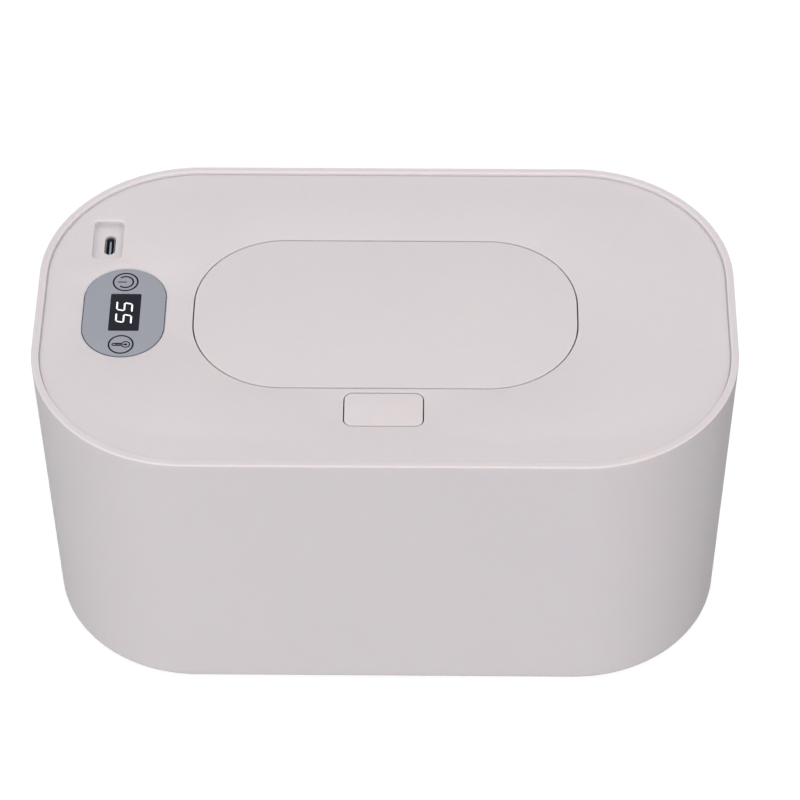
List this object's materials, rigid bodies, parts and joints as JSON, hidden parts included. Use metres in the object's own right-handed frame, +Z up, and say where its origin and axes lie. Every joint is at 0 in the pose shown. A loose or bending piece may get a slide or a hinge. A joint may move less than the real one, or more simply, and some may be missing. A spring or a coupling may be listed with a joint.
{
  "type": "baby wipe warmer",
  "caption": "Rounded rectangular wipe warmer box with a drop-in lid, a flush oval flap on goosenecks, a rocking latch button, a touch panel with a display, and a sprung tray.",
  "frame": {"origin": "centre of the footprint, on the surface that the feet rest on", "axes": "+X along the long side, to the user's right when the button faces them; +Y to the back, where the flap's hinge is; +Z up"},
  "size_m": [0.24, 0.144, 0.1145],
  "materials": {
    "shell_plastic": "fine moulded satin ABS, warm off-white",
    "inner_plastic": "plain moulded PP, off-white",
    "silicone": "matt translucent white silicone",
    "spring_steel": "drawn spring wire",
    "screw_steel": "zinc-plated screws and pins",
    "heater_aluminium": "rolled sheet",
    "heater_polyimide": "amber polyimide film with etched foil",
    "foam": "closed-cell foam, dark grey",
    "epoxy_black": "black epoxy bead",
    "fuse_body": "ceramic cut-out body",
    "board_laminate": "green solder mask",
    "board_parts": "black moulded packages",
    "display_housing": "dark display housing",
    "port_steel": "stamped receptacle shell",
    "panel_plastic": "cool grey smooth touch panel with dark line symbols",
    "window_plastic": "smoked window with white lit digits",
    "lead_red": "red silicone lead",
    "lead_white": "white fine lead"
  },
  "bodies": {
    "box": {"box_shell": "shell_plastic", "rubber_feet": "silicone", "lift_spring_left": "spring_steel", "lift_spring_right": "spring_steel"},
    "tray": {"lift_tray": "inner_plastic"},
    "lid": {"lid_panel": "shell_plastic", "lid_base": "inner_plastic", "lid_screws": "screw_steel", "lid_seal": "silicone", "heater_plate": "heater_aluminium", "heater_film": "heater_polyimide", "insulation_pad": "foam", "heater_screws": "screw_steel", "temperature_sensor": "epoxy_black", "thermal_fuse": "fuse_body", "main_board": "board_laminate", "board_parts": "board_parts", "board_screws": "screw_steel", "charging_port": "port_steel", "display_module": "display_housing", "touch_springs": "spring_steel", "control_panel": "panel_plastic", "display_window": "window_plastic", "heater_leads": "lead_red", "sensor_leads": "lead_white", "hinge_pin": "screw_steel", "flap_spring": "spring_steel", "button_pins": "screw_steel", "button_spring": "spring_steel"},
    "flap": {"flap": "shell_plastic", "flap_seal": "silicone"},
    "button": {"latch_button": "shell_plastic"}
  },
  "joints": [
    {"name": "lid_lift", "type": "slide", "parent": "box", "child": "lid", "axis": [0, 0, 1], "range_m": [0, 0.1]},
    {"name": "flap_hinge", "type": "hinge", "parent": "lid", "child": "flap", "pos_m": [0, 0.04275, 0.10955], "axis": [-1, 0, 0], "range_deg": [0, 95], "deforming": ["flap_spring"]},
    {"name": "button_rock", "type": "hinge", "parent": "lid", "child": "button", "pos_m": [0, -0.03885, 0.1057], "axis": [1, 0, 0], "range_deg": [0, 8], "stiffness_Nm_per_rad": 0.02, "springref_deg": -8.59, "deforming": ["button_spring"]},
    {"name": "tray_sink", "type": "slide", "parent": "box", "child": "tray", "axis": [0, 0, -1], "range_m": [0, 0.058], "stiffness_N_per_m": 60, "springref_m": -0.02, "deforming": ["lift_spring_left", "lift_spring_right"]}
  ]
}
